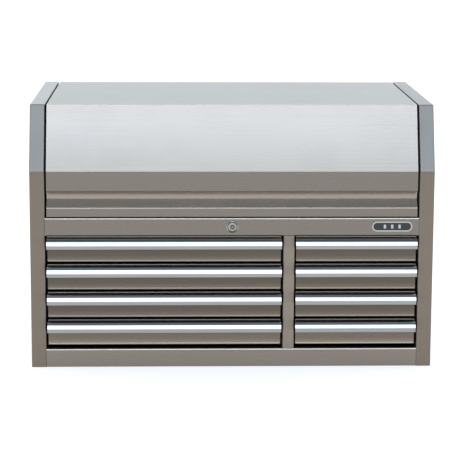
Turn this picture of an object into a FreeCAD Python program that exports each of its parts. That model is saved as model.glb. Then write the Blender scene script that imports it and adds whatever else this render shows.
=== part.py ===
import FreeCAD, Part
import math
import os
import re
from FreeCAD import Placement, Rotation, Vector

# Stainless steel top chest: two banks of four drawers under a lidded till.
# Row frame: +Z up, the front faces -Y, the origin is at the middle of the bottom of the whole box.

doc = FreeCAD.newDocument("tool_chest")

# ---------------------------------------------------------------- driving dimensions (mm)

VALUES = {
    "width": 1041.4,          # over the side panels
    "depth": 610.0,           # front posts to back panel
    "height": 682.0,
    "bend_height": 515.0,     # where the upright front turns into the slanted front
    "setback": 55.0,          # how far the slanted front leans back by the top
    "steel": 1.2,             # case and lid sheet
    "thin_steel": 1.0,        # drawer sheet
    "post": 38.2,             # width of the side panels' folded edge
    "return_lip": 14.2,       # depth of the second fold of a side panel
    "bend_round": 4.0,        # outer radius between the upright and slanted fronts
    "crest_round": 3.5,       # outer radius between the slanted front and the top
    "back_round": 3.5,
    "lid_gap": 5.0,           # between the lid and each side panel
    "lid_bottom": 396.8,
    "lid_flange": 26.0,       # folded edge under the lid
    "grip_low": 420.8,        # finger groove across the lid front
    "grip_middle": 442.7,     # its crease
    "grip_high": 464.4,
    "grip_depth": 16.0,
    "grip_curve": 18.0,       # radius of its hollow upper face
    "rail_bottom": 347.8,
    "rail_top": 395.4,
    "rail_flange": 30.0,
    "base_rail_top": 49.1,
    "base_rail_flange": 20.0,
    "rail_round": 4.5,        # outer radius of a rail's top fold
    "pan_gap": 1.2,           # pans stand clear of the rails' inner folds
    "till_lip": 8.0,
    "base_lip": 30.0,
    "divider_left": 132.2,
    "divider_right": 161.4,
    "row_first": 60.4,        # bottom edge of the lowest drawer front
    "row_pitch": 73.3,
    "front_height": 66.8,
    "front_thick": 12.0,
    "box_depth": 548.0,
    "box_height": 56.0,
    "box_lift": 4.0,          # drawer floor above the bottom edge of its front
    "slide_space": 12.7,
    "slide_lift": 32.0,
    "slide_length": 500.0,
    "slide_middle_length": 470.0,
    "pull_out": 22.0,         # how far a pull stands out from the drawer front
    "pull_cap": 1.5,
    "pull_wall": 1.8,
    "pull_bow": 31.5,         # radius of the lip's front
    "pull_roll": 22.0,        # radius of the lip's top
    "pull_strip": 9.4,        # flat edge along the bottom of the lip
    "pull_low": 35.7,         # heights on the drawer front, from its bottom edge
    "pull_high": 58.3,
    "slot_high": 63.5,        # top of the open slot above a pull's back plate
    "kick_out": 0.9,          # flared bottom edge of a drawer front
    "kick_high": 4.6,
    "lock_height": 372.0,
    "hinge_height": 652.0,
    "hinge_inset": 5.6,       # hinge pin in front of the back panel's face
    "knuckle_radius": 3.2,
    "knuckle_pitch": 50.0,
    "pin_radius": 1.6,
    "hinge_length": 950.0,
    "strut_side": 468.0,      # gas struts, from the middle of the chest
    "strut_arm": 260.7,       # hinge pin to each end of a strut
    "strut_case_angle": 69.5, # case end of a strut, below the hinge pin
    "strut_lid_angle": -2.6,  # lid end of a strut
}

sheet = doc.addObject("Spreadsheet::Sheet", "dims")
for row, (alias, value) in enumerate(VALUES.items(), start=1):
    sheet.set("A%d" % row, alias)
    sheet.set("B%d" % row, str(value))
    sheet.setAlias("B%d" % row, alias)
doc.recompute()

ALIAS = re.compile(r"\b(" + "|".join(sorted(VALUES, key=len, reverse=True)) + r")\b")


def dim(alias):
    """The value of one cell of the sheet."""
    return float(sheet.get(alias))


FRONT = (dim("pull_out") - dim("depth")) / 2
BACK = FRONT + dim("depth")
SIDE = dim("width") / 2
OPEN = SIDE - dim("post")            # inner edge of a side panel
STEEL = dim("steel")
HEIGHT = dim("height")
LEAN = math.atan2(dim("setback"), HEIGHT - dim("bend_height"))
HINGE_Y = BACK - dim("hinge_inset")
HINGE_Z = dim("hinge_height")
LEAF = 1.0                           # hinge leaf thickness
LEAF_Y = HINGE_Y - dim("knuckle_radius")
FRONT_TEXT = "(pull_out - depth) / 2"


# ---------------------------------------------------------------- helpers

def bind(thing, prop, text):
    """Ties a property to the sheet: every alias in the text becomes a cell of it."""
    thing.setExpression(prop, ALIAS.sub(lambda found: "dims." + found.group(0), text))


def block(name, size, corner):
    """A box whose three sizes and lowest corner are expressions of the sheet."""
    thing = doc.addObject("Part::Box", name)
    for prop, text in zip(("Length", "Width", "Height"), size):
        bind(thing, prop, str(text))
    for axis, text in zip("xyz", corner):
        bind(thing, "Placement.Base." + axis, str(text))
    return thing


def rod(name, radius, length, start, direction):
    """A cylinder from a point along a direction."""
    thing = doc.addObject("Part::Cylinder", name)
    bind(thing, "Radius", str(radius))
    bind(thing, "Height", str(length))
    turn = Rotation(Vector(0, 0, 1), Vector(*direction))
    thing.Placement = Placement(Vector(*start), turn)
    return thing


def joined(name, things):
    """Several solids fused into one."""
    thing = doc.addObject("Part::MultiFuse", name)
    thing.Shapes = things
    return thing


def less(name, base, tools):
    """A base with one or more tools cut away."""
    tool = tools[0] if len(tools) == 1 else joined(name + "_tools", tools)
    thing = doc.addObject("Part::Cut", name)
    thing.Base = base
    thing.Tool = tool
    return thing


def group(name, things):
    """Separate solids kept together as one sub-part."""
    thing = doc.addObject("Part::Compound", name)
    thing.Links = things
    return thing


def rounded(points):
    """Lines and arcs of a closed outline; a third number in a point is its corner radius."""
    corners = []
    count = len(points)
    for index, point in enumerate(points):
        here = Vector(point[0], point[1], 0)
        radius = point[2] if len(point) > 2 else 0
        if radius == 0:
            corners.append((here, None, here))
            continue
        before = Vector(points[index - 1][0], points[index - 1][1], 0)
        after = Vector(points[(index + 1) % count][0], points[(index + 1) % count][1], 0)
        back = (before - here).normalize()
        ahead = (after - here).normalize()
        half = back.getAngle(ahead) / 2
        inward = (back + ahead).normalize()
        reach = radius / math.tan(half)
        middle = here + inward * (radius / math.sin(half) - radius)
        corners.append((here + back * reach, middle, here + ahead * reach))
    shapes = []
    for index, (start, middle, end) in enumerate(corners):
        if middle is not None:
            shapes.append(Part.Arc(start, middle, end))
        following = corners[(index + 1) % count][0]
        if (following - end).Length > 1e-6:
            shapes.append(Part.LineSegment(end, following))
    return shapes


def inset(points, gap):
    """The same closed outline, every edge moved inwards by the gap and its corner radii kept in step."""
    area = sum(a[0] * b[1] - b[0] * a[1] for a, b in zip(points, points[1:] + points[:1]))
    side = 1 if area > 0 else -1
    lines = []
    for a, b in zip(points, points[1:] + points[:1]):
        length = math.hypot(b[0] - a[0], b[1] - a[1])
        along = ((b[0] - a[0]) / length, (b[1] - a[1]) / length)
        lines.append(((a[0] - side * along[1] * gap, a[1] + side * along[0] * gap), along))
    least = 0.3
    moved = []
    for point, (p, u), (q, v) in zip(points, lines[-1:] + lines[:-1], lines):
        cross = u[0] * v[1] - u[1] * v[0]
        step = ((q[0] - p[0]) * v[1] - (q[1] - p[1]) * v[0]) / cross
        corner = (p[0] + u[0] * step, p[1] + u[1] * step)
        if len(point) > 2:
            change = -gap if cross * side > 0 else gap
            corner += (max(point[2] + change, least),)
        moved.append(corner)
    return moved


def sketch_on(body, plane, shapes, offset):
    """A sketch on one of the body's own origin planes, moved along the plane's normal."""
    sketch = body.newObject("Sketcher::SketchObject", body.Name + "_sketch")
    planes = [item for item in body.Origin.OriginFeatures if item.Role == plane]
    sketch.AttachmentSupport = [(planes[0], "")]
    sketch.MapMode = "FlatFace"
    bind(sketch, "AttachmentOffset.Base.z", offset)
    sketch.addGeometry(shapes, False)
    return sketch


def padded(name, plane, shapes, start, length):
    """A body: one sketch padded along the plane's normal."""
    body = doc.addObject("PartDesign::Body", name)
    sketch = sketch_on(body, plane, shapes, start)
    pad = body.newObject("PartDesign::Pad", name + "_pad")
    pad.Profile = sketch
    bind(pad, "Length", length)
    sketch.Visibility = False
    return body


def across(name, points, start, length):
    """A profile in the Y-Z plane, run along +X from start."""
    return padded(name, "YZ_Plane", rounded(points), start, length)


def along(name, points, back, length):
    """A profile in the X-Z plane, run along -Y from back."""
    return padded(name, "XZ_Plane", rounded(points), "-(%s)" % back, length)


def upward(name, points, start, length):
    """A profile in the X-Y plane, run along +Z from start."""
    return padded(name, "XY_Plane", rounded(points), start, length)


def turned(name, outline, place):
    """A body turned about its own Z axis: outline points are radius and height."""
    body = doc.addObject("PartDesign::Body", name)
    sketch = sketch_on(body, "XZ_Plane", rounded(outline), "0")
    spin = body.newObject("PartDesign::Revolution", name + "_turn")
    spin.Profile = sketch
    spin.ReferenceAxis = (sketch, ["V_Axis"])
    spin.Angle = 360
    body.Placement = place
    return body


def softened(body, radius, chosen):
    """Rounds every edge of a body that the test picks."""
    doc.recompute()
    shape = body.Shape
    names = ["Edge%d" % (i + 1) for i, edge in enumerate(shape.Edges) if chosen(edge)]
    fillet = body.newObject("PartDesign::Fillet", body.Name + "_fillet")
    fillet.Base = (body.Tip if body.Tip != fillet else body.Group[-2], names)
    fillet.Radius = radius
    return body


# ---------------------------------------------------------------- case shell

def end_outline(gap, floor):
    """Side view of the chest, inset by a gap, down to a given floor."""
    bend = dim("bend_height") - gap * math.tan(LEAN / 2)
    crest = FRONT + (HEIGHT - gap - dim("bend_height")) * math.tan(LEAN) + gap / math.cos(LEAN)
    least = 0.6
    return [
        (FRONT + gap, floor),
        (FRONT + gap, bend, max(dim("bend_round") - gap, least)),
        (crest, HEIGHT - gap, max(dim("crest_round") - gap, least)),
        (BACK - gap, HEIGHT - gap, max(dim("back_round") - gap, least)),
        (BACK - gap, floor),
    ]


def side_panel(name, sign):
    """One sheet folded twice round its front, slanted, top and back edges."""
    start = "width / 2 - post" if sign > 0 else "-width / 2"
    shell = across(name + "_outside", end_outline(0, 0), start, "post")
    edge_low = 0.01

    def on_fold(edge):
        box = edge.BoundBox
        flat = box.XLength < 1e-6
        return flat and box.ZMax > edge_low

    softened(shell, 2.2, on_fold)
    inner_start = "width / 2 - post + steel" if sign > 0 else "-width / 2 + steel"
    inside = across(name + "_inside", end_outline(STEEL, -5), inner_start, "post - 2 * steel")
    window_start = "width / 2 - post - steel" if sign > 0 else "-width / 2 + post - 2 * steel"
    window = across(name + "_window", end_outline(dim("return_lip"), -5), window_start, "3 * steel")
    return less(name, shell, [inside, window])


def inner_wall(name, sign):
    """Flat wall inside a side panel: it carries the slides and lines the till."""
    start = "width / 2 - post" if sign > 0 else "-width / 2 + post - steel"
    return across(name, end_outline(dim("return_lip"), 2 * STEEL), start, "steel")


def back_panel():
    """Back sheet with a forward step at the top, which makes room for the hinge."""
    step = 620.0
    top = HINGE_Z - 3.2
    face = LEAF_Y
    outline = [
        (BACK - STEEL, 0),
        (BACK, 0),
        (BACK, step, 2.0),
        (face, step, 0.8),
        (face, top),
        (face - STEEL, top),
        (face - STEEL, step - STEEL, 2.0),
        (BACK - STEEL, step - STEEL, 0.8),
    ]
    return across("back_panel", outline, "-width / 2 + post", "width - 2 * post")


def channel_rail(name, low, high, flange, length_text):
    """Front rail folded back at its top and bottom edges."""
    outline = [
        (FRONT, low, 2.2),
        (FRONT, high, dim("rail_round")),
        (FRONT + flange, high),
        (FRONT + flange, high - STEEL),
        (FRONT + STEEL, high - STEEL, dim("rail_round") - STEEL),
        (FRONT + STEEL, low + STEEL, 1.0),
        (FRONT + flange, low + STEEL),
        (FRONT + flange, low),
    ]
    return across(name, outline, "-width / 2 + post", length_text)


def lock_rail():
    """Upper rail with a bore for the lock and a slot for the lid's striker."""
    low = dim("rail_bottom")
    high = dim("rail_top")
    rail = channel_rail("lock_rail_folded", low, high, dim("rail_flange"), "width - 2 * post")
    bore = rod("lock_rail_bore", 9.6, 6, (0, FRONT + 3, dim("lock_height")), (0, -1, 0))
    slot = block("lock_rail_slot", (18, "rail_flange", 6), (11.5, FRONT_TEXT + " + 3", "rail_top - 4"))
    return less("lock_rail", rail, [bore, slot])


def pan(name, size, corner, wall):
    """An open-topped pan of sheet: size and corner are expressions of the sheet."""
    outside = block(name + "_outside", size, corner)
    hollow_size = ("%s - 2 * %s" % (size[0], wall), "%s - 2 * %s" % (size[1], wall), size[2])
    hollow_corner = ["%s + %s" % (place, wall) for place in corner]
    hollow = block(name + "_hollow", hollow_size, hollow_corner)
    return less(name, outside, [hollow])


def base_pan():
    """Bottom of the drawer space, standing on the base rail's lower fold."""
    size = ("width - 2 * post", "depth - 2 * steel - pan_gap", "base_lip")
    corner = ("-width / 2 + post", FRONT_TEXT + " + steel + pan_gap", "steel")
    return pan("base_pan", size, corner, "steel")


def till_floor():
    """Floor of the upper compartment, a shallow pan that rests on the lock rail."""
    size = ("width - 2 * post", "depth - 2 * steel - pan_gap", "till_lip")
    corner = ("-width / 2 + post", FRONT_TEXT + " + steel + pan_gap", "rail_bottom + steel")
    return pan("till_floor", size, corner, "steel")


def centre_divider():
    """Post between the two drawer banks, folded back on both sides to carry slides."""
    left = dim("divider_left")
    right = dim("divider_right")
    rear = BACK - STEEL
    outline = [
        (left, rear),
        (left, FRONT, 2.2),
        (right, FRONT, 2.2),
        (right, rear),
        (right - STEEL, rear),
        (right - STEEL, FRONT + STEEL, 1.0),
        (left + STEEL, FRONT + STEEL, 1.0),
        (left + STEEL, rear),
    ]
    return upward("centre_divider", outline, "base_rail_top", "rail_bottom - base_rail_top")


# ---------------------------------------------------------------- lid

def lid_outline(depth, rear_floor):
    """Side view of the lid as a band of the given depth, with its finger groove."""
    bend = dim("bend_height")
    tangent = math.tan(LEAN)
    inner_bend = bend - depth * math.tan(LEAN / 2)
    inner_crest = FRONT + (HEIGHT - depth - bend) * tangent + depth / math.cos(LEAN)
    rear = LEAF_Y
    crease = (FRONT + dim("grip_depth"), dim("grip_middle"))
    ledge = math.radians(12.2)       # slope of the groove's upper face where it starts
    riser = math.radians(5.0)        # and, from upright, where it meets the crease
    reach = dim("grip_depth") / (math.cos(ledge) - math.sin(riser))
    hollow = (crease[0] + reach * math.sin(riser), crease[1] + reach * math.cos(riser))
    return [
        (FRONT, dim("lid_bottom"), 1.8),
        (FRONT, dim("grip_low"), 3.2),
        crease + (0.8,),
        hollow + (dim("grip_curve"),),
        (FRONT, dim("grip_high"), 2.0),
        (FRONT, bend, dim("bend_round")),
        (FRONT + dim("setback"), HEIGHT, dim("crest_round")),
        (rear, HEIGHT, 3.0),
        (rear, rear_floor),
        (rear - depth, rear_floor),
        (rear - depth, HEIGHT - depth),
        (inner_crest, HEIGHT - depth),
        (FRONT + depth, inner_bend),
        (FRONT + depth, dim("lid_bottom")),
    ]


def lid_shell():
    """Lid: top, slanted front, grooved upright front and folded edges all round."""
    side = "width / 2 - post"
    start = "-(%s) + lid_gap" % side
    length = "2 * (%s) - 2 * lid_gap" % side
    band = lid_outline(dim("lid_flange"), HINGE_Z + 3.0)
    outside = across("lid_outside", band, start, length)
    deep = lid_outline(60.0, HINGE_Z - 40.0)
    hollow = across("lid_hollow", inset(deep, STEEL), start + " + steel", length + " - 2 * steel")
    notch_size = (5.0, "grip_depth - 2", "grip_high - grip_middle - 5")
    notches = []
    for name, place in (("left", start + " - 0.5"), ("right", "%s - lid_gap - 4.5" % side)):
        corner = (place, FRONT_TEXT + " - 0.5", "grip_middle + 1.5")
        notches.append(block("lid_notch_" + name, notch_size, corner))
    return less("lid_shell", outside, [hollow] + notches)


def lid_stiffeners():
    """Two folded channels under the lid's top."""
    rows = []
    for number, place in enumerate((FRONT + 210.0, FRONT + 430.0), start=1):
        top = HEIGHT - STEEL
        outline = [
            (place, top),
            (place, top - 15, 1.5),
            (place + 40, top - 15, 1.5),
            (place + 40, top),
            (place + 39, top),
            (place + 39, top - 14, 0.5),
            (place + 1, top - 14, 0.5),
            (place + 1, top),
        ]
        name = "lid_stiffener_%d" % number
        rows.append(across(name, outline, "-width / 2 + post + 30", "width - 2 * post - 60"))
    return group("lid_stiffeners", rows)


def lid_striker():
    """Hook under the lid's front edge, which the lock cam holds down."""
    low = 360.0
    plate = block("striker_plate", (16, 16, 1.5), (12.5, FRONT_TEXT + " + 12", "lid_bottom - 1.5"))
    leg = block("striker_leg", (2, 8, "lid_bottom - %s" % low), (26.5, FRONT_TEXT + " + 20", low))
    foot = block("striker_foot", (14.5, 8, 2.5), (14, FRONT_TEXT + " + 20", low))
    return joined("lid_striker", [plate, leg, foot])


def lid_bumpers():
    """Two rubber pads on the lock rail, on which the lid rests."""
    pads = []
    for number, place in enumerate((-320.0, 290.0), start=1):
        size = (30, 12, "lid_bottom - rail_top - 0.1")
        pads.append(block("lid_bumper_%d" % number, size, (place, FRONT_TEXT + " + 9", "rail_top")))
    return group("lid_bumpers", pads)


# ---------------------------------------------------------------- piano hinge

def hinge_leaf(name, parity, up):
    """A leaf with every second knuckle, bored for the pin; up is 1 for the lid's leaf."""
    length = dim("hinge_length")
    pitch = dim("knuckle_pitch")
    slack = 0.3
    radius = dim("knuckle_radius")
    tall = 25.0
    plate_gap = radius + 0.6
    low = HINGE_Z + plate_gap if up > 0 else HINGE_Z - plate_gap - tall
    pieces = [block(name + "_plate", ("hinge_length", LEAF, tall), ("-hinge_length / 2", LEAF_Y, low))]
    count = int(round(length / pitch))
    for index in range(parity, count, 2):
        left = -length / 2 + index * pitch + slack
        wide = pitch - 2 * slack
        tongue_low = HINGE_Z if up > 0 else HINGE_Z - plate_gap - 1
        knuckle_name = "%s_knuckle_%d" % (name, index)
        tongue_name = "%s_tongue_%d" % (name, index)
        pieces.append(rod(knuckle_name, radius, wide, (left, HINGE_Y, HINGE_Z), (1, 0, 0)))
        pieces.append(block(tongue_name, (wide, LEAF, plate_gap + 1), (left, LEAF_Y, tongue_low)))
    solid = joined(name + "_solid", pieces)
    bore_start = (-length / 2 - 2, HINGE_Y, HINGE_Z)
    bore = rod(name + "_bore", "pin_radius + 0.08", length + 4, bore_start, (1, 0, 0))
    return less(name, solid, [bore])


def hinge_pin():
    """One wire through all the knuckles."""
    length = dim("hinge_length")
    return rod("hinge_pin", "pin_radius", "hinge_length", (-length / 2, HINGE_Y, HINGE_Z), (1, 0, 0))


# ---------------------------------------------------------------- gas struts

def strut_end(angle_alias):
    """Where a strut end sits: an angle below the hinge pin's forward direction."""
    angle = math.radians(dim(angle_alias))
    arm = dim("strut_arm")
    return HINGE_Y - arm * math.cos(angle), HINGE_Z - arm * math.sin(angle)


CASE_END = strut_end("strut_case_angle")
LID_END = strut_end("strut_lid_angle")
STRUT_LENGTH = math.hypot(LID_END[0] - CASE_END[0], LID_END[1] - CASE_END[1])
STRUT_WAY = ((LID_END[0] - CASE_END[0]) / STRUT_LENGTH, (LID_END[1] - CASE_END[1]) / STRUT_LENGTH)
EYE_REACH = 14.0


def strut_place(sign, end, distance, way):
    """A placement whose Z axis runs along the strut, a distance from one of its ends."""
    start = Vector(sign * dim("strut_side"), end[0] + way * STRUT_WAY[0] * distance,
                   end[1] + way * STRUT_WAY[1] * distance)
    return Placement(start, Rotation(Vector(0, 0, 1), Vector(0, way * STRUT_WAY[0], way * STRUT_WAY[1])))


def strut_tubes():
    """Pressure tubes with a closed foot and a bored gland at the rod's end."""
    long = 250.0
    outline = [
        (0, 0), (9, 0, 1.5), (9, long, 1.5), (4.3, long),
        (4.3, long - 12), (7.6, long - 12), (7.6, 2), (0, 2),
    ]
    tubes = []
    for side, sign in (("left", -1), ("right", 1)):
        tubes.append(turned("strut_tube_" + side, outline, strut_place(sign, CASE_END, EYE_REACH, 1)))
    return group("strut_tubes", tubes)


def strut_rods():
    """Piston rods, each with its piston inside the tube."""
    long = 245.0
    outline = [(0, 0), (4, 0), (4, long), (7.0, long), (7.0, long + 8, 0.5), (0, long + 8)]
    rods = []
    for side, sign in (("left", -1), ("right", 1)):
        rods.append(turned("strut_rod_" + side, outline, strut_place(sign, LID_END, EYE_REACH, -1)))
    return group("strut_rods", rods)


def strut_eyes(name, end, way):
    """Eye fittings that run on the studs at one end of the struts."""
    eyes = []
    wide = 10.0
    for side, sign in (("left", -1), ("right", 1)):
        middle = sign * dim("strut_side")
        ring = rod("%s_ring_%s" % (name, side), 8, wide, (middle - wide / 2, end[0], end[1]), (1, 0, 0))
        shank = rod("%s_shank_%s" % (name, side), 4.6, EYE_REACH, (middle, end[0], end[1]),
                    (0, way * STRUT_WAY[0], way * STRUT_WAY[1]))
        bore_start = (middle - wide / 2 - 2, end[0], end[1])
        bore = rod("%s_bore_%s" % (name, side), 4.3, wide + 4, bore_start, (1, 0, 0))
        solid = joined("%s_solid_%s" % (name, side), [ring, shank])
        eyes.append(less("%s_%s" % (name, side), solid, [bore]))
    return group(name, eyes)


def strut_studs(name, end, wall):
    """Studs for one end of both struts; wall is the distance of their seat from the middle."""
    outline_long = wall - (dim("strut_side") - 7.0)
    outline = [(0, 0), (6.8, 0), (6.8, 1.8), (4, 1.8), (4, outline_long), (6.2, outline_long),
               (6.2, outline_long + 2, 0.6), (0, outline_long + 2)]
    studs = []
    for side, sign in (("left", -1), ("right", 1)):
        turn = Rotation(Vector(0, 0, 1), Vector(-sign, 0, 0))
        place = Placement(Vector(sign * wall, end[0], end[1]), turn)
        studs.append(turned("%s_%s" % (name, side), outline, place))
    return group(name, studs)


# ---------------------------------------------------------------- lock and emblem

def facing_front(depth):
    """A placement on the lock's axis whose Z runs out of the front, from a depth behind it."""
    turn = Rotation(Vector(0, 0, 1), Vector(0, -1, 0))
    return Placement(Vector(0, FRONT + depth, dim("lock_height")), turn)


def lock_housing():
    """Bezel, threaded barrel and back nut of the tubular lock."""
    outline = [
        (7.6, 0), (9.5, 0), (9.5, 12), (13.5, 12), (13.5, 16.8), (9.5, 16.8), (9.5, 18),
        (15.6, 18), (15.6, 19.6, 0.8), (13.4, 20.8, 0.6), (11.6, 20.8, 0.3), (10.8, 22.6, 0.5), (7.6, 22.6),
    ]
    return turned("lock_housing", outline, facing_front(18))


def lock_plug():
    """Rotating core with a key slot and an inner ring."""
    core = turned("lock_plug_core", [(0, 0), (7.5, 0), (7.5, 25.8, 0.5), (0, 25.8)], facing_front(23))
    slot = block("lock_plug_slot", (1.8, 9, 7), (-0.9, FRONT_TEXT + " - 3.5", "lock_height - 3.5"))
    return less("lock_plug", core, [slot])


def lock_cam():
    """Tongue on the back of the plug; it turns over the striker's foot."""
    hub = rod("lock_cam_hub", 7.5, 2.5, (0, FRONT + 25.5, dim("lock_height")), (0, -1, 0))
    tongue = block("lock_cam_tongue", (8, 2.5, 20), (-4, FRONT_TEXT + " + 23", "lock_height"))
    return joined("lock_cam", [hub, tongue])


def emblem_plate():
    """Plain stretched oval plate with a raised rim and three bars."""
    middle = 413.0
    low = dim("lock_height") - 13.0
    half = 52.0
    outline = [(middle - half, low, 12.9), (middle + half, low, 12.9), (middle + half, low + 26, 12.9),
               (middle - half, low + 26, 12.9)]
    inner = [(middle - half + 3, low + 3, 9.9), (middle + half - 3, low + 3, 9.9),
             (middle + half - 3, low + 23, 9.9), (middle - half + 3, low + 23, 9.9)]
    plate = along("emblem_blank", outline, FRONT_TEXT, "1.8")
    recess = along("emblem_recess", inner, FRONT_TEXT + " - 1.0", "2")
    bars = []
    for number, shift in enumerate((-22.0, -3.0, 16.0), start=1):
        corner = (middle + shift, FRONT_TEXT + " - 1.6", low + 8)
        bars.append(block("emblem_bar_%d" % number, (6, 1.2, 10), corner))
    dished = less("emblem_dished", plate, [recess])
    return joined("emblem_plate", [dished] + bars)


# ---------------------------------------------------------------- drawers and slides

BANKS = {
    "left": {
        "wall_left": -OPEN, "wall_right": dim("divider_left"),
        "front_left": -476.8, "front_right": 126.2,
    },
    "right": {
        "wall_left": dim("divider_right"), "wall_right": OPEN,
        "front_left": 164.6, "front_right": 476.2,
    },
}
PULL_OVERHANG = 0.9


def drawer_box(name, bank, low):
    """A hollow folded front, open below and behind its pull, with a folded box behind it."""
    wide = bank["front_right"] - bank["front_left"]
    left = bank["front_left"]
    front = block(name + "_front", (wide, "front_thick", "front_height"), (left, FRONT_TEXT, low))
    doc.recompute()
    soft = doc.addObject("Part::Fillet", name + "_front_soft")
    soft.Base = front
    y_low = FRONT + 1e-3
    picked = [i + 1 for i, edge in enumerate(front.Shape.Edges) if edge.BoundBox.YMax < y_low]
    soft.Edges = [(number, 1.4, 1.4) for number in picked]
    cavity = block(name + "_cavity",
                   (wide - 2, "front_thick - 2 * thin_steel", "front_height - 2 * thin_steel"),
                   (left + 1, FRONT_TEXT + " + thin_steel", "%s + thin_steel" % low))
    mouth = block(name + "_mouth", (wide - 2, 5, 3), (left + 1, FRONT_TEXT + " + 6", low - 1))
    slot = block(name + "_slot", (wide - 5, "3 * thin_steel", "slot_high - pull_high"),
                 (left + 2.5, FRONT_TEXT + " - thin_steel", "%s + pull_high" % low))
    kick_outline = [
        (FRONT - dim("kick_out"), low + 0.6),
        (FRONT - dim("kick_out"), low + 1.4),
        (FRONT, low + dim("kick_high")),
        (FRONT + dim("thin_steel") / 2, low + dim("kick_high")),
        (FRONT + dim("thin_steel") / 2, low + 0.6),
    ]
    kick = across(name + "_kick", kick_outline, str(left + 1.5), str(wide - 3))
    box_left = bank["wall_left"] + dim("slide_space")
    box_wide = bank["wall_right"] - bank["wall_left"] - 2 * dim("slide_space")
    behind = FRONT_TEXT + " + front_thick - thin_steel"
    box = block(name + "_box", (box_wide, "box_depth", "box_height"),
                (box_left, behind, "%s + box_lift" % low))
    hollow = block(name + "_hollow",
                   ("%s - 2 * thin_steel" % box_wide, "box_depth - 2 * thin_steel", "box_height"),
                   ("%s + thin_steel" % box_left, behind + " + thin_steel",
                    "%s + box_lift + thin_steel" % low))
    shell = less(name + "_pan", box, [hollow])
    skin = less(name + "_skin", soft, [cavity, mouth, slot])
    return joined(name, [skin, kick, shell])


BOW_START = math.radians(12.0)       # the lip's front, as angles above the horizontal
BOW_END = math.radians(31.5)
ROLL_END = math.radians(60.0)


def pull_profile(low):
    """Section of a pull: back plate, trough and a bowed lip, and the plain outline of its end."""
    wall = dim("pull_wall")
    bow = dim("pull_bow")
    roll = dim("pull_roll")

    def toward(angle, size):
        return Vector(-size * math.cos(angle), size * math.sin(angle), 0)

    strip_top = Vector(FRONT - dim("pull_out"), low + dim("pull_low") + dim("pull_strip"), 0)
    bow_middle = strip_top - toward(BOW_START, bow)
    knee = bow_middle + toward(BOW_END, bow)
    roll_middle = knee - toward(BOW_END, roll)
    crest = roll_middle + toward(ROLL_END, roll)
    inner_crest = roll_middle + toward(ROLL_END, roll - wall)
    tip = (crest + inner_crest) * 0.5 + Vector(math.sin(ROLL_END), math.cos(ROLL_END), 0) * (wall / 2)
    inner_knee = bow_middle + toward(BOW_END, bow - wall)
    inner_strip_top = bow_middle + toward(BOW_START, bow - wall)

    def half_way(middle, radius, start, end):
        return middle + toward((start + end) / 2, radius)

    bottom = low + dim("pull_low")
    soft = 1.2
    foot = Vector(strip_top.x, bottom + soft, 0)
    heel = Vector(strip_top.x + soft, bottom, 0)
    heel_middle = Vector(strip_top.x + soft * (1 - math.sqrt(0.5)), bottom + soft * (1 - math.sqrt(0.5)), 0)
    base = Vector(FRONT, bottom, 0)
    top = Vector(FRONT, low + dim("pull_high"), 0)
    plate_top = Vector(FRONT - wall, low + dim("pull_high"), 0)
    trough = Vector(FRONT - wall, bottom + wall, 0)
    inner_foot = Vector(inner_strip_top.x, bottom + wall, 0)
    outside = [
        Part.LineSegment(base, heel),
        Part.Arc(heel, heel_middle, foot),
        Part.LineSegment(foot, strip_top),
        Part.Arc(strip_top, half_way(bow_middle, bow, BOW_START, BOW_END), knee),
        Part.Arc(knee, half_way(roll_middle, roll, BOW_END, ROLL_END), crest),
    ]
    section = outside + [
        Part.Arc(crest, tip, inner_crest),
        Part.Arc(inner_crest, half_way(roll_middle, roll - wall, BOW_END, ROLL_END), inner_knee),
        Part.Arc(inner_knee, half_way(bow_middle, bow - wall, BOW_START, BOW_END), inner_strip_top),
        Part.LineSegment(inner_strip_top, inner_foot),
        Part.LineSegment(inner_foot, trough),
        Part.LineSegment(trough, plate_top),
        Part.LineSegment(plate_top, top),
        Part.LineSegment(top, base),
    ]
    cap = outside + [
        Part.LineSegment(crest, plate_top),
        Part.LineSegment(plate_top, top),
        Part.LineSegment(top, base),
    ]
    return section, cap


def pull(name, bank, low):
    """A full-width pull with a cap on each end."""
    section, cap = pull_profile(low)
    left = bank["front_left"] - PULL_OVERHANG
    right = bank["front_right"] + PULL_OVERHANG
    run = padded(name + "_run", "YZ_Plane", section, "%s + pull_cap" % left,
                 "%s - 2 * pull_cap" % (right - left))
    caps = []
    for number, place in enumerate((str(left), "%s - pull_cap" % right), start=1):
        caps.append(padded("%s_cap_%d" % (name, number), "YZ_Plane", cap, place, "pull_cap"))
    return group(name, [run] + caps)


SLIDE_SECTIONS = {
    # web and flanges, measured from the wall and from the slide's middle line
    "outer": [(0, -17.5, 1.5), (9.5, -17.5), (9.5, -16.3), (1.2, -16.3, 0.3), (1.2, 16.3, 0.3), (9.5, 16.3),
              (9.5, 17.5), (0, 17.5, 1.5)],
    "middle": [(2.8, -14.0, 1.4), (10.0, -14.0), (10.0, -12.8), (4.0, -12.8, 0.3),
               (4.0, 12.8, 0.3), (10.0, 12.8), (10.0, 14.0), (2.8, 14.0, 1.4)],
    "inner": [(12.7, -9.8, 1.4), (5.4, -9.8), (5.4, -8.6), (11.5, -8.6, 0.3), (11.5, 8.6, 0.3), (5.4, 8.6),
              (5.4, 9.8), (12.7, 9.8, 1.4)],
}


def slide_pair(name, kind, bank, low, start, length):
    """The two slide members of one kind that serve one drawer."""
    members = []
    for side, wall, sign in (("a", bank["wall_left"], 1), ("b", bank["wall_right"], -1)):
        centre = low + dim("slide_lift")
        outline = []
        for point in SLIDE_SECTIONS[kind]:
            outline.append((wall + sign * point[0], centre + point[1]) + tuple(point[2:]))
        rear = "%s + %s + %s" % (FRONT_TEXT, start, length)
        members.append(along("%s_%s" % (name, side), outline, rear, length))
    return members


# ---------------------------------------------------------------- the assembly

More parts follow.
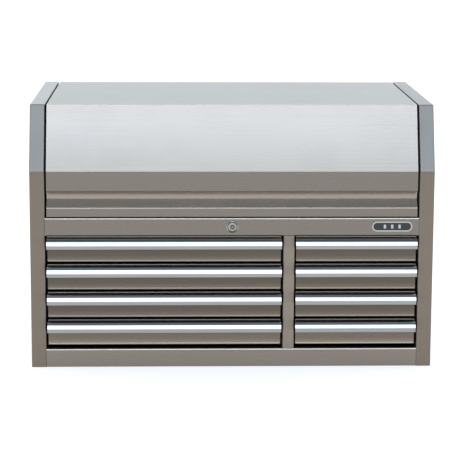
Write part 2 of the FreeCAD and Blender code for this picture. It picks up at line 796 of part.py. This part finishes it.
parts = [
    side_panel("side_panel_left", -1),
    side_panel("side_panel_right", 1),
    inner_wall("inner_wall_left", -1),
    inner_wall("inner_wall_right", 1),
    back_panel(),
    base_pan(),
    channel_rail("base_rail", 0, dim("base_rail_top"), dim("base_rail_flange"), "width - 2 * post"),
    lock_rail(),
    centre_divider(),
    till_floor(),
    lid_shell(),
    lid_stiffeners(),
    lid_striker(),
    lid_bumpers(),
    hinge_leaf("hinge_case_leaf", 0, -1),
    hinge_leaf("hinge_lid_leaf", 1, 1),
    hinge_pin(),
    strut_tubes(),
    strut_rods(),
    strut_eyes("strut_tube_ends", CASE_END, 1),
    strut_eyes("strut_rod_ends", LID_END, -1),
    strut_studs("strut_case_studs", CASE_END, OPEN),
    strut_studs("strut_lid_studs", LID_END, OPEN - dim("lid_gap") - STEEL),
    lock_housing(),
    lock_plug(),
    lock_cam(),
    emblem_plate(),
]

outer_members = []
for bank_name, bank in BANKS.items():
    for number in (1, 2, 3, 4):
        low = dim("row_first") + (4 - number) * dim("row_pitch")
        tag = "%s_%d" % (bank_name, number)
        parts.append(drawer_box("drawer_" + tag, bank, low))
        parts.append(pull("pull_" + tag, bank, low))
        parts.append(group("slide_inner_" + tag,
                           slide_pair("inner_" + tag, "inner", bank, low, "14", "slide_length")))
        parts.append(group("slide_middle_" + tag,
                           slide_pair("middle_" + tag, "middle", bank, low, "16", "slide_middle_length")))
        outer_members += slide_pair("outer_" + tag, "outer", bank, low, "15", "slide_length")
parts.append(group("slide_outer_members", outer_members))

doc.recompute()


# ---------------------------------------------------------------- checks and export

def check(parts):
    """Stops on any failed object or any sub-part that isn't sound."""
    for thing in doc.Objects:
        if "Invalid" in thing.State or "Error" in thing.State:
            raise RuntimeError("failed object: %s %s" % (thing.Name, thing.State))
    for part in parts:
        if part.Shape.isNull() or not part.Shape.isValid() or part.Shape.Volume <= 0:
            raise RuntimeError("bad shape: " + part.Name)


check(parts)
os.makedirs("parts", exist_ok=True)
for part in parts:
    part.Label = part.Name
    part.Shape.exportStep(os.path.join("parts", part.Label + ".step"))
    box = part.Shape.BoundBox
    print("%-22s solids %2d  x %.1f..%.1f  y %.1f..%.1f  z %.1f..%.1f" % (
        part.Label, len(part.Shape.Solids), box.XMin, box.XMax, box.YMin, box.YMax, box.ZMin, box.ZMax))
print(len(parts), "sub-parts")
print("hinge", HINGE_Y, HINGE_Z, "case end", CASE_END, "lid end", LID_END, "strut", STRUT_LENGTH)
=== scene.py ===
import math

import bmesh
import bpy
from mathutils import Matrix, Vector


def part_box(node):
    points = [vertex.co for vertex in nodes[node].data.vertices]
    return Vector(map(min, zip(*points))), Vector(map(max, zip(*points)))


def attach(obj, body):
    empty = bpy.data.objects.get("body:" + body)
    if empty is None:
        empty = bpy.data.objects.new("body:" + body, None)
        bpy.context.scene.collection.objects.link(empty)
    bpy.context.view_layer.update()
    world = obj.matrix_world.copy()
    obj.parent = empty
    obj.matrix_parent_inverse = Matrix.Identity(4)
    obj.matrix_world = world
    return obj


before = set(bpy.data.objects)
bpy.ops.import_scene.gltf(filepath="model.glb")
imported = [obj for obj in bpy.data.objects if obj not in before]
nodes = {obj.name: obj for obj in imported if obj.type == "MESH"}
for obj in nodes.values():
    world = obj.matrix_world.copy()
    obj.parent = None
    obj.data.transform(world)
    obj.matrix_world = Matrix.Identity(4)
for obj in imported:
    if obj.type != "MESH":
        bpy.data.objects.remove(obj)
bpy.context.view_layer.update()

scene = bpy.context.scene

# ---------------------------------------------------------------- places, from the frame

front_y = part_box("side_panel_left")[0].y
top_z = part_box("side_panel_left")[1].z
lid_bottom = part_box("lid_shell")[0].z
lock_rail_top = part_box("lock_rail")[1].z
base_rail_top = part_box("base_rail")[1].z
top_row_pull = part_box("pull_left_1")[1].z
low_row_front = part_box("drawer_left_4")[0].z
BEND = 0.515             # height where the upright front turns into the slanted front
GROOVE_LOW = 0.4208      # heights of the lid's finger groove: its lower lip, its crease and its upper edge
GROOVE_CREASE = 0.4427
GROOVE_HIGH = 0.4644
drawer_tags = ["%s_%d" % (bank, row) for bank in ("left", "right") for row in (1, 2, 3, 4)]


# ---------------------------------------------------------------- node helpers

MIX_FACTOR, MIX_A, MIX_B = 0, 6, 7     # the Mix node's colour sockets
MIX_RESULT = 2


class Nodes:
    """A material's node tree, with short calls to add and join nodes."""

    def __init__(self, name):
        self.material = bpy.data.materials.new(name)
        self.material.use_nodes = True
        self.tree = self.material.node_tree
        self.shader = self.tree.nodes["Principled BSDF"]

    def add(self, kind, **settings):
        node = self.tree.nodes.new(kind)
        for key, value in settings.items():
            setattr(node, key, value)
        return node

    def join(self, start, end):
        self.tree.links.new(start, end)

    def place(self, kind="Object"):
        return self.add("ShaderNodeTexCoord").outputs[kind]

    def axis(self, letter, kind="Object"):
        """One axis of a point's place."""
        node = self.add("ShaderNodeSeparateXYZ")
        self.join(self.place(kind), node.inputs["Vector"])
        return node.outputs[letter]

    def scaled(self, scale):
        node = self.add("ShaderNodeMapping")
        node.inputs["Scale"].default_value = scale
        self.join(self.place(), node.inputs["Vector"])
        return node.outputs["Vector"]

    def noise(self, scale, detail=3.0, rough=0.5):
        node = self.add("ShaderNodeTexNoise")
        node.inputs["Scale"].default_value = 1.0
        node.inputs["Detail"].default_value = detail
        node.inputs["Roughness"].default_value = rough
        self.join(self.scaled(scale), node.inputs["Vector"])
        return node.outputs["Fac"]

    def spread(self, value, low, high, start=0.3, end=0.7):
        """The value, scaled from start and end to low and high."""
        node = self.add("ShaderNodeMapRange")
        node.inputs["From Min"].default_value = start
        node.inputs["From Max"].default_value = end
        node.inputs["To Min"].default_value = low
        node.inputs["To Max"].default_value = high
        self.join(value, node.inputs["Value"])
        return node.outputs["Result"]

    def math(self, operation, a, b):
        node = self.add("ShaderNodeMath", operation=operation)
        for socket, value in zip(node.inputs, (a, b)):
            if isinstance(value, (int, float)):
                socket.default_value = value
            else:
                self.join(value, socket)
        return node.outputs["Value"]

    def blend(self, factor, a, b, mode="MIX"):
        node = self.add("ShaderNodeMix", data_type="RGBA", blend_type=mode)
        sockets = (node.inputs[MIX_FACTOR], node.inputs[MIX_A], node.inputs[MIX_B])
        for socket, value in zip(sockets, (factor, a, b)):
            if isinstance(value, (int, float, tuple)):
                socket.default_value = value
            else:
                self.join(value, socket)
        return node.outputs[MIX_RESULT]

    def bump(self, height, strength, distance):
        node = self.add("ShaderNodeBump")
        node.inputs["Strength"].default_value = strength
        node.inputs["Distance"].default_value = distance
        self.join(height, node.inputs["Height"])
        self.join(node.outputs["Normal"], self.shader.inputs["Normal"])

    def height(self):
        """How high a point of the object is."""
        return self.axis("Z")

    def share_up(self):
        """How far up its own body a point is, from 0 to 1."""
        return self.axis("Z", "Generated")

    def depth(self):
        """How far back a point of the object is."""
        return self.axis("Y")

    def direction(self, vector):
        node = self.add("ShaderNodeCombineXYZ")
        for socket, value in zip(node.inputs, vector):
            socket.default_value = value
        return node.outputs["Vector"]


def grey(value, warm=0.0):
    """A grey, tinted towards brown by its share of warmth."""
    return (value * (1 + warm), value, value * (1 - warm), 1.0)


# ---------------------------------------------------------------- materials

FINE_ALONG, FINE_ACROSS = 9, 3000      # noise per metre along and across the grain
COARSE_ALONG, COARSE_ACROSS = 1.0, 420


def coloured(made, colour, gain):
    """Sets the base colour, multiplied by a gain if there is one."""
    if gain is not None:
        colour = made.blend(1.0, colour, gain(made), "MULTIPLY")
    made.join(colour, made.shader.inputs["Base Color"])


def brushed(name, dark, light, grain, across, rough_low, rough_high, stretch=0.75, streak=0.06,
            shift=None, gain=None):
    """Brushed stainless steel. grain marks the axes the streaks run along; across is the way over them."""
    made = Nodes(name)
    fine = made.noise(tuple(FINE_ALONG if g else FINE_ACROSS for g in grain), 2.0)
    coarse = made.noise(tuple(COARSE_ALONG if g else COARSE_ACROSS for g in grain), 4.0, 0.6)
    cloud = made.noise((2.0, 2.0, 2.0), 2.0)
    streaks = made.math("ADD", made.math("MULTIPLY", fine, 0.45), made.math("MULTIPLY", coarse, 0.55))
    tone = made.spread(streaks, 0.5 - streak, 0.5 + streak, 0.38, 0.62)
    tone = made.math("ADD", tone, made.spread(cloud, -0.08, 0.08))
    if shift is not None:
        tone = made.math("ADD", tone, shift(made))
    coloured(made, made.blend(tone, dark, light), gain)
    smudge = made.noise((9.0, 9.0, 9.0), 5.0, 0.65)
    rough = made.math("ADD", made.spread(streaks, rough_low, rough_high, 0.30, 0.70),
                      made.spread(smudge, -0.005, 0.012, 0.45, 0.75))
    made.join(rough, made.shader.inputs["Roughness"])
    made.shader.inputs["Metallic"].default_value = 1.0
    made.shader.inputs["Anisotropic"].default_value = stretch
    made.join(made.direction(across), made.shader.inputs["Tangent"])
    made.bump(streaks, 0.10, 0.00002)
    return made.material


def metal(name, dark, light, rough_low, rough_high, scale=(40, 40, 40), gain=None):
    """Plain metal with a cloudy finish and fine marks."""
    made = Nodes(name)
    cloud = made.noise(scale, 4.0)
    marks = made.noise(tuple(s * 9 for s in scale), 3.0)
    coloured(made, made.blend(made.spread(cloud, 0.0, 1.0), dark, light), gain)
    made.join(made.spread(marks, rough_low, rough_high), made.shader.inputs["Roughness"])
    made.shader.inputs["Metallic"].default_value = 1.0
    made.bump(marks, 0.15, 0.00003)
    return made.material


def coat(name, dark, light, rough_low, rough_high, grain_scale, depth):
    """Paint, plastic or rubber with a fine surface texture."""
    made = Nodes(name)
    cloud = made.noise((12, 12, 12), 4.0)
    grain = made.noise(grain_scale, 2.0)
    made.join(made.blend(made.spread(cloud, 0.0, 1.0), dark, light), made.shader.inputs["Base Color"])
    made.join(made.spread(grain, rough_low, rough_high), made.shader.inputs["Roughness"])
    made.bump(grain, 0.4, depth)
    return made.material


ALONG_X = (1, 0, 0)          # grain
ALONG_Z = (0, 1, 1)
UP_SLOPE = (0.0, 0.5, 1.0)   # directions over the grain
OVER_SIDE = (1.0, 0.25, 0.0)
PLAIN = (1.0, 1.0, 1.0, 1.0)
# tint of the painted cool reflection on the side panels' slants and tops
COOL_REFLECTION_TINT = (0.84, 1.0, 1.18, 1.0)


def painted_slant_reflection(made):
    """Painted reflection: lighter towards the top of the slanted front."""
    return made.spread(made.height(), -0.60, 0.90, BEND, top_z)


def painted_slant_shade(made):
    """Painted shade: darker on the side panels' slanted edges."""
    return made.spread(made.height(), 0.05, -0.25, BEND - 0.010, BEND + 0.010)


def black_ends(made):
    """A slide is nearly black over its front end."""
    black, plain = 0.02, 1.0
    return made.spread(made.depth(), black, plain, front_y + 0.045, front_y + 0.055)


def painted_cool_reflection(made):
    """Painted reflection tint: the slanted edges are a much cooler grey than the upright ones, and the top
    faces a little cooler.
    """
    slant_share = 0.80
    top_less = -0.45
    at_slant = made.spread(made.height(), 0.0, slant_share, BEND - 0.010, BEND + 0.010)
    at_top = made.spread(made.height(), 0.0, top_less, top_z - 0.004, top_z - 0.001)
    return made.blend(made.math("ADD", at_slant, at_top), PLAIN, COOL_REFLECTION_TINT)


def painted_front_light(made):
    """Painted light and shade on the drawer fronts: painted shade higher up, under the pulls, painted light
    at the foot, most of all on the lowest row, where the floor lights it, and a painted highlight along the
    top fold.
    """
    foot = made.spread(made.share_up(), 1.25, 0.82, 0.05, 0.24)
    kick = made.spread(made.share_up(), 0.80, 1.0, 0.04, 0.07)
    lowest = made.spread(made.height(), 1.42, 1.0, low_row_front + 0.0356, low_row_front + 0.0576)
    top_fold = made.spread(made.share_up(), 1.0, 1.6, 0.940, 0.955)
    low_part = made.math("MULTIPLY", made.math("MULTIPLY", foot, kick), lowest)
    return made.math("MULTIPLY", low_part, top_fold)


def painted_roll_shade(made):
    """Painted shade: the top row's pulls are darker along their rolled tops, under the lock rail."""
    return made.spread(made.height(), 1.0, 0.40, top_row_pull - 0.0065, top_row_pull - 0.0045)


def evenly(gain):
    return (gain, gain, gain, 1.0)


# Bands of height where painted light and shade make a finish lighter, darker or cooler: the gain, then the
# heights where the band starts, is full from, is full to, and ends.
LID_PAINTED_LIGHT = (
    # painted cool reflection tint on the slanted front, less and less towards the top
    ((0.99, 1.04, 1.08, 1.0), BEND - 0.004, BEND + 0.006, BEND + 0.060, top_z),
    # painted warmer light on the groove's lower face
    ((1.10, 1.02, 0.90, 1.0),
     GROOVE_LOW + 0.0002, GROOVE_LOW + 0.0014, GROOVE_CREASE - 0.0015, GROOVE_CREASE - 0.0003),
    # painted reflection on its hollow upper face, strongest on the part of it in deep shade
    (evenly(1.5), GROOVE_CREASE + 0.0003, GROOVE_CREASE + 0.0018, GROOVE_HIGH - 0.0024, GROOVE_HIGH + 0.0001),
    (evenly(3.2), GROOVE_HIGH - 0.0084, GROOVE_HIGH - 0.0038, GROOVE_HIGH - 0.0014, GROOVE_HIGH + 0.0005),
    # painted shade along the lid's bottom edge
    (evenly(0.62), lid_bottom - 0.0008, lid_bottom - 0.0003, lid_bottom + 0.0012, lid_bottom + 0.0020),
    # painted highlight on the groove's lower lip
    (evenly(1.7), GROOVE_LOW - 0.0028, GROOVE_LOW - 0.0013, GROOVE_LOW - 0.0002, GROOVE_LOW + 0.0004),
    # painted highlight on the crest between the slanted front and the top
    (evenly(2.2), top_z - 0.0030, top_z - 0.0010, top_z - 0.00006, top_z - 0.00002),
)
RAIL_PAINTED_LIGHT = (
    # painted highlights on the top folds of both rails
    (evenly(2.2), lock_rail_top - 0.0049, lock_rail_top - 0.0024, lock_rail_top - 0.0002, lock_rail_top),
    (evenly(2.2), base_rail_top - 0.0048, base_rail_top - 0.0023, base_rail_top - 0.0002, base_rail_top),
    # painted light on the base rail's face
    (evenly(1.12), -0.002, -0.001, base_rail_top - 0.0051, base_rail_top - 0.0046),
)


def painted_bands(made, bands):
    """The gain of painted light and shade in bands of height."""
    tone = PLAIN
    for gain, low, low_full, high_full, high in bands:
        z = made.height()
        rise = made.spread(z, 0.0, 1.0, low, low_full)
        fall = made.spread(z, 1.0, 0.0, high_full, high)
        tone = made.blend(made.math("MULTIPLY", rise, fall), tone, gain)
    return tone


# painted highlights, shade and reflection tints on the lid
def painted_lid_light(made):
    return painted_bands(made, LID_PAINTED_LIGHT)


# painted highlights on the rails' top folds and painted light on the base rail's face
def painted_rail_light(made):
    return painted_bands(made, RAIL_PAINTED_LIGHT)


# The strong warm tint in these steels' greys is painted reflection of a warm floor.
steel_lid = brushed("stainless_lid", grey(0.180, 0.15), grey(0.224, 0.11), ALONG_X, UP_SLOPE, 0.24, 0.29,
                    shift=painted_slant_reflection, gain=painted_lid_light)
steel_rail = brushed("stainless_rail", grey(0.165, 0.16), grey(0.196, 0.15), ALONG_X, UP_SLOPE, 0.23, 0.29,
                     gain=painted_rail_light)
steel_side = brushed("stainless_side", grey(0.154, 0.20), grey(0.198, 0.19), ALONG_Z, OVER_SIDE, 0.34, 0.42,
                     0.82, 0.22, shift=painted_slant_shade, gain=painted_cool_reflection)
steel_divider = brushed("stainless_divider", grey(0.204, 0.18), grey(0.252, 0.17), ALONG_Z, OVER_SIDE,
                        0.34, 0.42, 0.82, 0.22)
# the drawer fronts' darker grey is painted shade from the pulls above them
shaded_steel_front = brushed("stainless_drawer", grey(0.107, 0.21), grey(0.134, 0.20), ALONG_X, UP_SLOPE, 0.25, 0.31,
                      gain=painted_front_light)
steel_back = brushed("stainless_back", grey(0.24, 0.05), grey(0.30, 0.05), ALONG_X, UP_SLOPE, 0.30, 0.38)
steel_inside = metal("stainless_inside", grey(0.20, 0.04), grey(0.27, 0.04), 0.34, 0.48, (5, 5, 5))
pull_metal = metal("pull_aluminium", grey(0.31), grey(0.34), 0.10, 0.15, (6, 200, 200), gain=painted_roll_shade)
zinc_look = ((0.45, 0.46, 0.47, 1), (0.58, 0.59, 0.58, 1), 0.22, 0.36, (30, 60, 60))
zinc = metal("zinc_plate", *zinc_look)
slide_zinc = metal("slide_plate", *zinc_look, gain=black_ends)
chrome = metal("chrome", grey(0.30, 0.06), grey(0.36, 0.06), 0.06, 0.12)


def emblem_finish():
    """Polished rim and bars standing on a nearly black ground."""
    made = Nodes("emblem_finish")
    ground = made.spread(made.depth(), 0.0, 1.0, front_y - 0.0014, front_y - 0.0011)
    cloud = made.noise((60, 60, 60), 3.0)
    bright = made.blend(cloud, grey(0.42), grey(0.50))
    black_ground = made.blend(cloud, (0.012, 0.012, 0.014, 1), (0.022, 0.022, 0.025, 1))
    made.join(made.blend(ground, bright, black_ground), made.shader.inputs["Base Color"])
    made.join(made.math("SUBTRACT", 1.0, ground), made.shader.inputs["Metallic"])
    made.join(made.spread(cloud, 0.10, 0.16), made.shader.inputs["Roughness"])
    made.bump(cloud, 0.1, 0.00002)
    return made.material


emblem_metal = emblem_finish()
paint_black = coat("strut_paint", grey(0.012), grey(0.02), 0.30, 0.42, (900, 900, 900), 0.00002)
plastic_black = coat("moulded_black", grey(0.018), grey(0.03), 0.45, 0.60, (1500, 1500, 1500), 0.00003)
mat_rubber = coat("liner_rubber", grey(0.020), grey(0.032), 0.62, 0.80, (1600, 1600, 1600), 0.00004)
rubber_black = coat("rubber_black", grey(0.015), grey(0.03), 0.70, 0.85, (1200, 1200, 1200), 0.00004)

FINISHES = {
    "side_panel_left": steel_side, "side_panel_right": steel_side, "centre_divider": steel_divider,
    "inner_wall_left": steel_inside, "inner_wall_right": steel_inside, "back_panel": steel_back,
    "base_pan": steel_inside, "base_rail": steel_rail, "lock_rail": steel_rail, "till_floor": steel_inside,
    "slide_outer_members": slide_zinc, "hinge_case_leaf": steel_back, "hinge_lid_leaf": steel_back,
    "hinge_pin": chrome, "strut_case_studs": zinc, "strut_lid_studs": zinc, "lock_housing": chrome,
    "lock_plug": chrome, "lock_cam": zinc, "emblem_plate": emblem_metal, "lid_bumpers": rubber_black,
    "lid_shell": steel_lid, "lid_stiffeners": steel_inside, "lid_striker": zinc,
    "strut_tubes": paint_black, "strut_tube_ends": plastic_black, "strut_rod_ends": plastic_black,
    "strut_rods": chrome,
}
for tag in drawer_tags:
    FINISHES["drawer_" + tag] = shaded_steel_front
    FINISHES["pull_" + tag] = pull_metal
    FINISHES["slide_inner_" + tag] = slide_zinc
    FINISHES["slide_middle_" + tag] = slide_zinc

for name, material in FINISHES.items():
    mesh = nodes[name].data
    mesh.materials.clear()
    mesh.materials.append(material)


# ---------------------------------------------------------------- detail pieces

SHARP = math.radians(35)     # an edge that bends more than this stays crisp


def piece(name, shape, material, body):
    """Turns a bmesh into a piece that rides on a body."""
    bmesh.ops.recalc_face_normals(shape, faces=shape.faces)
    for face in shape.faces:
        face.smooth = True
    for edge in shape.edges:
        if len(edge.link_faces) == 2 and edge.calc_face_angle(0.0) > SHARP:
            edge.smooth = False
    mesh = bpy.data.meshes.new(name)
    shape.to_mesh(mesh)
    shape.free()
    mesh.materials.append(material)
    thing = bpy.data.objects.new(name, mesh)
    scene.collection.objects.link(thing)
    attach(thing, body)
    return thing


def lathe(shape, outline, place, steps=28):
    """Adds an outline of radius and height, turned about the Z axis of a placement."""
    rings = []
    for radius, height in outline:
        if radius == 0:
            rings.append([shape.verts.new(place @ Vector((0, 0, height)))])
            continue
        ring = []
        for step in range(steps):
            angle = 2 * math.pi * step / steps
            point = Vector((radius * math.cos(angle), radius * math.sin(angle), height))
            ring.append(shape.verts.new(place @ point))
        rings.append(ring)
    for lower, upper in zip(rings, rings[1:]):
        for step in range(steps):
            following = (step + 1) % steps
            corners = [lower[step % len(lower)], lower[following % len(lower)],
                       upper[following % len(upper)], upper[step % len(upper)]]
            shape.faces.new(list(dict.fromkeys(corners)))


def out_of(normal, point):
    """A placement at a point whose Z axis runs along a normal."""
    return Matrix.Translation(point) @ Vector(normal).to_track_quat("Z", "Y").to_matrix().to_4x4()


def dome(radius, height, rounds=5):
    """Outline of a rivet head, from its foot to its crown."""
    angles = [0.5 * math.pi * step / rounds for step in range(rounds)]
    return [(radius * math.cos(t), height * math.sin(t)) for t in angles] + [(0, height)]


def ribbed_mat(name, low, high, body):
    """A rubber mat with fine ribs that run from front to back."""
    pitch = 0.006
    rib = 0.0008
    shape = bmesh.new()
    count = int((high.x - low.x) / pitch)
    step = (high.x - low.x) / count
    profile = [(low.x, low.z)]
    for index in range(count):
        left = low.x + index * step
        profile += [(left, high.z - rib), (left + 0.15 * step, high.z), (left + 0.55 * step, high.z),
                    (left + 0.70 * step, high.z - rib)]
    profile += [(high.x, high.z - rib), (high.x, low.z)]
    ends = [[shape.verts.new((x, y, z)) for x, z in profile] for y in (low.y, high.y)]
    for index in range(len(profile)):
        following = (index + 1) % len(profile)
        shape.faces.new((ends[0][index], ends[0][following], ends[1][following], ends[1][index]))
    for end in ends:
        shape.faces.new(end)
    return piece(name, shape, mat_rubber, body)


def hinge_rivets():
    """Rivet heads on both leaves of the piano hinge."""
    leaf = 0.001
    count = 12
    pitch = 0.078
    from_edge = 0.011
    head = dome(0.0034, 0.0013)
    for name, node, body, height in (
            ("hinge_rivets_case", "hinge_case_leaf", "case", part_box("hinge_case_leaf")[0].z + from_edge),
            ("hinge_rivets_lid", "hinge_lid_leaf", "lid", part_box("hinge_lid_leaf")[1].z - from_edge)):
        shape = bmesh.new()
        face_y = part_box(node)[0].y + leaf
        for index in range(count):
            x = (index - (count - 1) / 2) * pitch
            lathe(shape, head, out_of((0, 1, 0), (x, face_y, height)), 18)
        piece(name, shape, chrome, body)


def liners():
    """Ribbed rubber mats in the till and in every drawer."""
    thick = 0.0020
    edge = 0.004             # between a mat and the walls round it
    till_sheet = 0.0012
    drawer_floor = 0.005     # top of a drawer's floor, above the bottom edge of its front
    slide_wide = 0.0132      # from a slide's outer face to the drawer's inner wall
    front_deep = 0.0185      # from the front of a drawer's box to its mat
    rear_gap = 0.003
    floor_low, floor_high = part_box("till_floor")
    bottom = floor_low.z + till_sheet
    ribbed_mat("till_liner", Vector((floor_low.x + edge, floor_low.y + edge, bottom)),
               Vector((floor_high.x - edge, floor_high.y - edge, bottom + thick)), "case")
    for tag in drawer_tags:
        low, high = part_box("drawer_" + tag)
        inner_low, inner_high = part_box("slide_inner_" + tag)
        bottom = low.z + drawer_floor
        ribbed_mat("drawer_liner_" + tag,
                   Vector((inner_low.x + slide_wide + edge, low.y + front_deep, bottom)),
                   Vector((inner_high.x - slide_wide - edge, high.y - rear_gap, bottom + thick)),
                   "drawer_" + tag)


def keyway():
    """The lock's ring-shaped keyway, whose hollow is drawn as a black ring of painted shade, the dimpled post
    inside it, and a dark ring round the bezel.
    """
    plug_low, plug_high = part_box("lock_plug")
    lock_z = (plug_low.z + plug_high.z) / 2
    on_plug = out_of((0, -1, 0), (0, plug_low.y, lock_z))
    on_rail = out_of((0, -1, 0), (0, front_y, lock_z))
    ring = [(0.0029, 0.0), (0.0029, 0.0003), (0.0053, 0.0003), (0.0056, 0.0)]
    post = [(0.0026, 0.0), (0.0026, 0.0008), (0.0023, 0.0011),
            (0.0012, 0.0011), (0.0008, 0.0005), (0, 0.0004)]
    gasket = [(0.0114, 0.0029), (0.0114, 0.0033), (0.0128, 0.0033), (0.0130, 0.0029)]
    for name, outline, place, material, body, slot in (
            ("lock_keyway", ring, on_plug, plastic_black, "lock", "black_plastic"),
            ("lock_post", post, on_plug, chrome, "lock", "chromed"),
            ("lock_gasket", gasket, on_rail, plastic_black, "case", "black_plastic")):
        shape = bmesh.new()
        lathe(shape, outline, place)
        piece(name, shape, material, body)


hinge_rivets()
liners()
keyway()


# ---------------------------------------------------------------- floor, light, camera

LIGHT_PANEL = (4.10, 4.60, 5.25, 1)    # soft panel behind the viewer
LIGHT_BESIDE = (0.47, 0.61, 0.77, 1)   # round the panel, on the viewer's side
LIGHT_STRIP = (0.34, 0.41, 0.55, 1)    # dark strip above the panel
LIGHT_OVERHEAD = (1.7, 1.8, 1.9, 1)
LIGHT_BACK = (1.34, 1.48, 1.60, 1)     # behind the object
LIGHT_SIDES = (0.85, 0.92, 1.00, 1)    # low down on the other sides
FLOOR_GLOW = 0.72


def floor():
    """A wide pale floor that glows a little, so that it is white up to the horizon."""
    mesh = bpy.data.meshes.new("floor")
    half = 14.0
    corners = [(-half, -half, 0), (half, -half, 0), (half, half, 0), (-half, half, 0)]
    mesh.from_pydata(corners, [], [(0, 1, 2, 3)])
    thing = bpy.data.objects.new("floor", mesh)
    scene.collection.objects.link(thing)
    made = Nodes("floor_white")
    soft = made.noise((1.5, 1.5, 1.5), 2.0)
    made.join(made.blend(soft, grey(0.40), grey(0.42)), made.shader.inputs["Base Color"])
    made.shader.inputs["Roughness"].default_value = 0.9
    made.shader.inputs["Specular IOR Level"].default_value = 0.0
    made.shader.inputs["Emission Color"].default_value = (1, 1, 1, 1)
    made.shader.inputs["Emission Strength"].default_value = FLOOR_GLOW
    mesh.materials.append(made.material)


def surroundings():
    """A soft studio: a panel behind the viewer, a dark strip above it, and light overhead and behind."""
    world = bpy.data.worlds.new("studio")
    scene.world = world
    world.use_nodes = True
    tree = world.node_tree

    def add(kind, **settings):
        node = tree.nodes.new(kind)
        for key, value in settings.items():
            setattr(node, key, value)
        return node

    def fade(value, start, end):
        """0 below start and 1 above end, smoothly."""
        node = add("ShaderNodeMapRange", interpolation_type="SMOOTHSTEP")
        node.inputs["From Min"].default_value = start
        node.inputs["From Max"].default_value = end
        tree.links.new(value, node.inputs["Value"])
        return node.outputs["Result"]

    def times(a, b):
        node = add("ShaderNodeMath", operation="MULTIPLY")
        tree.links.new(a, node.inputs[0])
        tree.links.new(b, node.inputs[1])
        return node.outputs["Value"]

    def over(below, above, factor):
        node = add("ShaderNodeMix", data_type="RGBA")
        tree.links.new(factor, node.inputs[MIX_FACTOR])
        for socket, value in ((node.inputs[MIX_A], below), (node.inputs[MIX_B], above)):
            if isinstance(value, tuple):
                socket.default_value = value
            else:
                tree.links.new(value, socket)
        return node.outputs[MIX_RESULT]

    place = add("ShaderNodeTexCoord").outputs["Generated"]
    parts = add("ShaderNodeSeparateXYZ")
    tree.links.new(place, parts.inputs["Vector"])
    flat = add("ShaderNodeVectorMath", operation="MULTIPLY")
    flat.inputs[1].default_value = (1, 1, 0)
    tree.links.new(place, flat.inputs[0])
    level = add("ShaderNodeVectorMath", operation="NORMALIZE")
    tree.links.new(flat.outputs["Vector"], level.inputs[0])
    bearing = add("ShaderNodeSeparateXYZ")
    tree.links.new(level.outputs["Vector"], bearing.inputs["Vector"])
    toward = add("ShaderNodeMath", operation="MULTIPLY")
    toward.inputs[1].default_value = -1.0
    tree.links.new(bearing.outputs["Y"], toward.inputs[0])
    height = parts.outputs["Z"]
    ahead = toward.outputs["Value"]      # 1 towards the viewer, -1 away

    light = over(LIGHT_SIDES, LIGHT_BACK, fade(bearing.outputs["Y"], -0.2, 0.35))
    light = over(light, LIGHT_OVERHEAD, fade(height, 0.60, 0.80))
    light = over(light, LIGHT_BESIDE, times(fade(ahead, 0.15, 0.45), fade(height, 0.10, 0.22)))
    light = over(light, LIGHT_STRIP, times(fade(ahead, -0.1, 0.25), fade(height, 0.64, 0.76)))
    panel = times(fade(height, 0.24, 0.38), fade(height, 0.74, 0.66))
    light = over(light, LIGHT_PANEL, times(panel, fade(ahead, 0.93, 0.98)))
    tree.links.new(light, tree.nodes["Background"].inputs["Color"])
    tree.nodes["Background"].inputs["Strength"].default_value = 1.0


def camera():
    """The viewpoint: high and a little left of the middle, looking down at the front."""
    eye = Vector((-0.145, front_y - 4.403, 1.215))
    yaw = math.radians(1.80)
    pitch = math.radians(9.96)
    roll = math.radians(0.27)
    ahead = Vector((math.sin(yaw) * math.cos(pitch), math.cos(yaw) * math.cos(pitch), -math.sin(pitch)))
    right = Vector((math.cos(yaw), -math.sin(yaw), 0.0))
    up = right.cross(ahead)
    side = right * math.cos(roll) + up * math.sin(roll)
    top = up * math.cos(roll) - right * math.sin(roll)
    data = bpy.data.cameras.new("camera")
    data.sensor_width = 36.0
    data.lens = 136.2
    data.shift_y = -0.065
    thing = bpy.data.objects.new("camera", data)
    scene.collection.objects.link(thing)
    thing.matrix_world = Matrix.Translation(eye) @ Matrix((side, top, -ahead)).transposed().to_4x4()
    scene.camera = thing


floor()
surroundings()
camera()
scene.view_settings.view_transform = "Standard"
